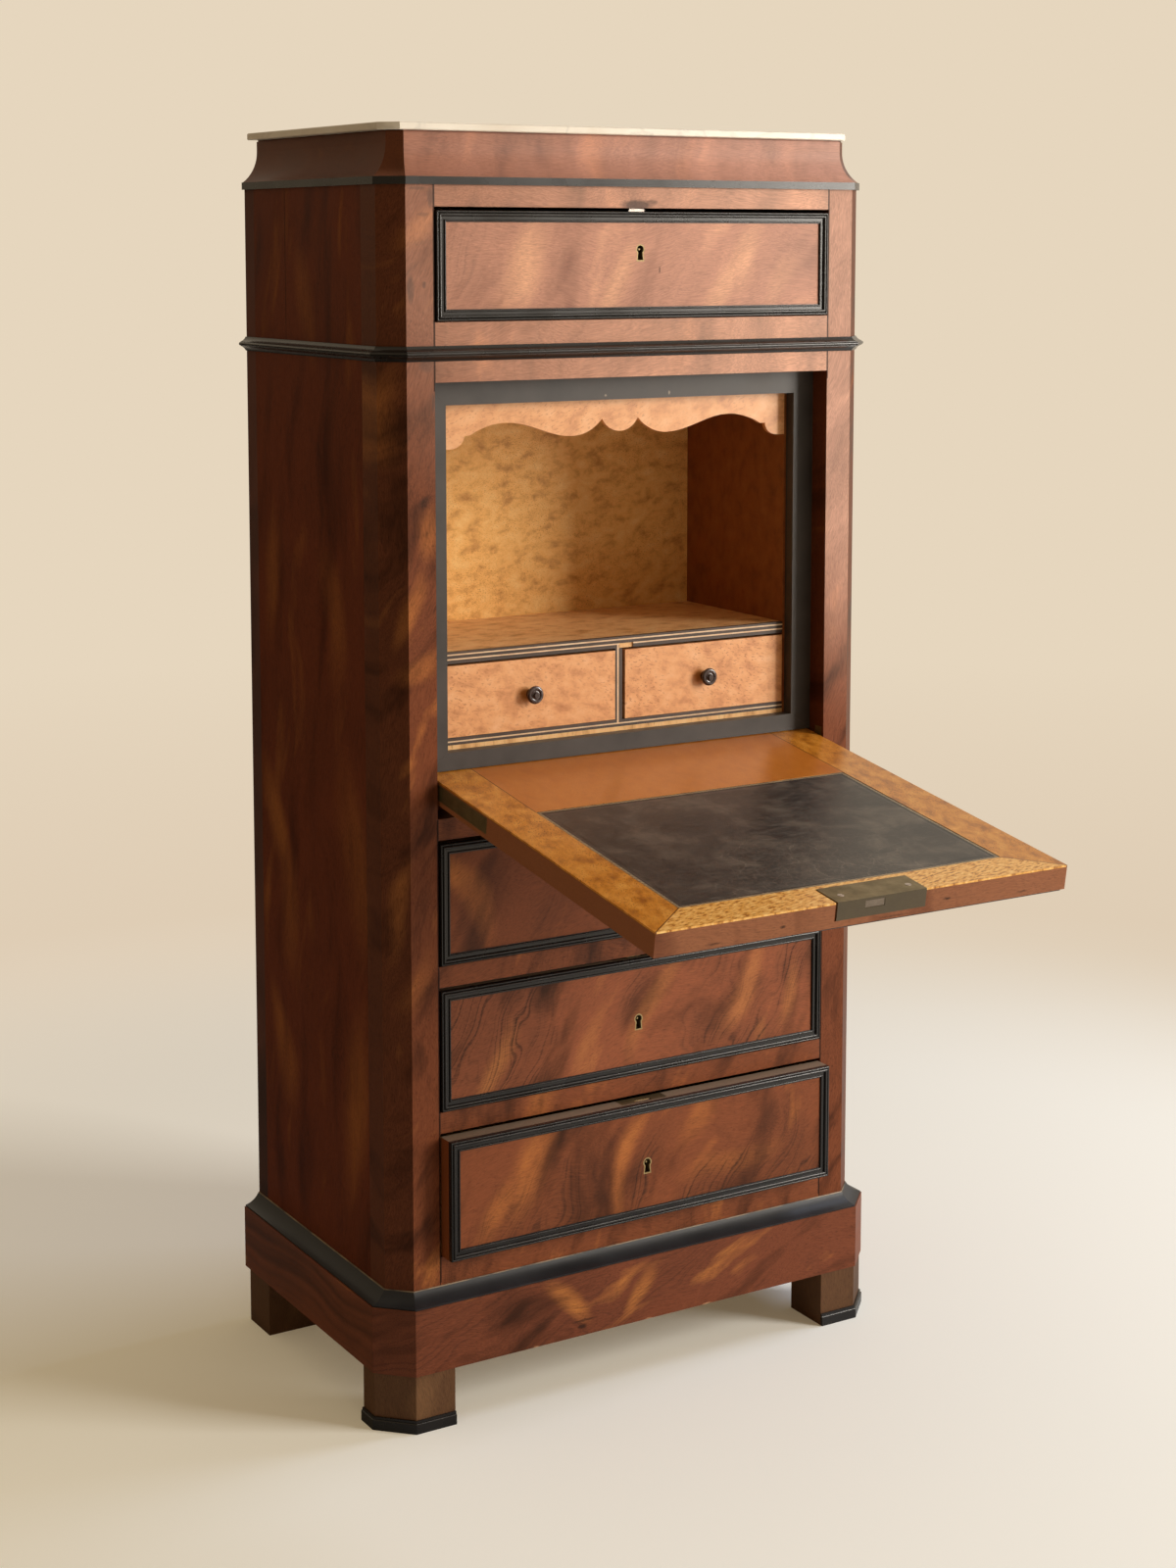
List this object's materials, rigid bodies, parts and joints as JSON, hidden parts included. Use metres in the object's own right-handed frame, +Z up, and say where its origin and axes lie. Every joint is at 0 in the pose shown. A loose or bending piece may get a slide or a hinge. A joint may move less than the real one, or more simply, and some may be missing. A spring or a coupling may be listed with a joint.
{
  "type": "fall-front secretary",
  "caption": "Tall veneered secretary with canted corners, a marble top, a cavetto cornice, a fall that opens as a writing surface, and long drawers on a plinth with feet.",
  "frame": {"origin": "on the floor, under the middle of the box round the piece as it stands with the fall open", "axes": "+X to the viewer's right along the front, +Y from the front to the back, +Z up"},
  "size_m": [0.683, 0.8104, 1.45],
  "materials": {
    "white_marble": "honed, softly bevelled",
    "mahogany": "French polished, worn",
    "ebonised_wood": "black stained, waxed",
    "birch": "satin varnish",
    "boxwood": "satin varnish",
    "pine": "bare, darkened",
    "leather": "worn black",
    "brass": "aged",
    "steel": "aged"
  },
  "bodies": {
    "case": {"marble_top": "white_marble", "cornice": "mahogany", "cornice_fillet": "ebonised_wood", "case_top": "pine", "mid_moulding": "ebonised_wood", "corner_posts": "mahogany", "side_panels": "mahogany", "back_frame": "pine", "back_boards": "pine", "front_rails": "mahogany", "dust_boards": "pine", "drawer_runners": "pine", "stop_frame": "ebonised_wood", "interior_sides": "birch", "interior_back": "birch", "interior_boards": "birch", "shelf": "birch", "valance": "birch", "dark_stringing": "ebonised_wood", "light_stringing": "boxwood", "base_moulding": "ebonised_wood", "plinth": "mahogany", "front_feet": "mahogany", "back_feet": "mahogany", "toe_moulding": "ebonised_wood", "pivot_sockets": "brass"},
    "fall": {"fall_panel": "mahogany", "fall_banding": "birch", "writing_leather": "leather", "fall_moulding": "ebonised_wood", "fall_lock": "brass", "fall_pivots": "brass"},
    "fall_bolt": {"fall_bolt": "steel"},
    "frieze_drawer": {"frieze_drawer_front": "mahogany", "frieze_drawer_moulding": "ebonised_wood", "frieze_drawer_box": "pine", "frieze_drawer_lock": "brass"},
    "frieze_drawer_bolt": {"frieze_drawer_bolt": "steel"},
    "upper_drawer": {"upper_drawer_front": "mahogany", "upper_drawer_moulding": "ebonised_wood", "upper_drawer_box": "pine", "upper_drawer_lock": "brass"},
    "upper_drawer_bolt": {"upper_drawer_bolt": "steel"},
    "middle_drawer": {"middle_drawer_front": "mahogany", "middle_drawer_moulding": "ebonised_wood", "middle_drawer_box": "pine", "middle_drawer_lock": "brass"},
    "middle_drawer_bolt": {"middle_drawer_bolt": "steel"},
    "lower_drawer": {"lower_drawer_front": "mahogany", "lower_drawer_moulding": "ebonised_wood", "lower_drawer_box": "pine", "lower_drawer_lock": "brass"},
    "lower_drawer_bolt": {"lower_drawer_bolt": "steel"},
    "left_small_drawer": {"left_small_front": "birch", "left_small_box": "pine", "left_small_knob": "ebonised_wood"},
    "right_small_drawer": {"right_small_front": "birch", "right_small_box": "pine", "right_small_knob": "ebonised_wood"}
  },
  "joints": [
    {"name": "fall_hinge", "type": "hinge", "parent": "case", "child": "fall", "pos_m": [0, 0.04555, 0.7167], "axis": [1, 0, 0], "range_deg": [-98.5, 0]},
    {"name": "fall_bolt_throw", "type": "slide", "parent": "fall", "child": "fall_bolt", "axis": [0, -0.989, -0.1478], "range_m": [0, 0.008]},
    {"name": "frieze_drawer_slide", "type": "slide", "parent": "case", "child": "frieze_drawer", "axis": [0, -1, 0], "range_m": [0, 0.25]},
    {"name": "frieze_drawer_bolt_throw", "type": "slide", "parent": "frieze_drawer", "child": "frieze_drawer_bolt", "axis": [0, 0, 1], "range_m": [-0.0039, 0.0041]},
    {"name": "upper_drawer_slide", "type": "slide", "parent": "case", "child": "upper_drawer", "axis": [0, -1, 0], "range_m": [0, 0.22]},
    {"name": "upper_drawer_bolt_throw", "type": "slide", "parent": "upper_drawer", "child": "upper_drawer_bolt", "axis": [0, 0, 1], "range_m": [0, 0.008]},
    {"name": "middle_drawer_slide", "type": "slide", "parent": "case", "child": "middle_drawer", "axis": [0, -1, 0], "range_m": [0, 0.25]},
    {"name": "middle_drawer_bolt_throw", "type": "slide", "parent": "middle_drawer", "child": "middle_drawer_bolt", "axis": [0, 0, 1], "range_m": [0, 0.008]},
    {"name": "lower_drawer_slide", "type": "slide", "parent": "case", "child": "lower_drawer", "axis": [0, -1, 0], "range_m": [-0.02, 0.23]},
    {"name": "lower_drawer_bolt_throw", "type": "slide", "parent": "lower_drawer", "child": "lower_drawer_bolt", "axis": [0, 0, 1], "range_m": [0, 0.008]},
    {"name": "left_small_drawer_slide", "type": "slide", "parent": "case", "child": "left_small_drawer", "axis": [0, -1, 0], "range_m": [0, 0.18]},
    {"name": "right_small_drawer_slide", "type": "slide", "parent": "case", "child": "right_small_drawer", "axis": [0, -1, 0], "range_m": [0, 0.18]}
  ]
}
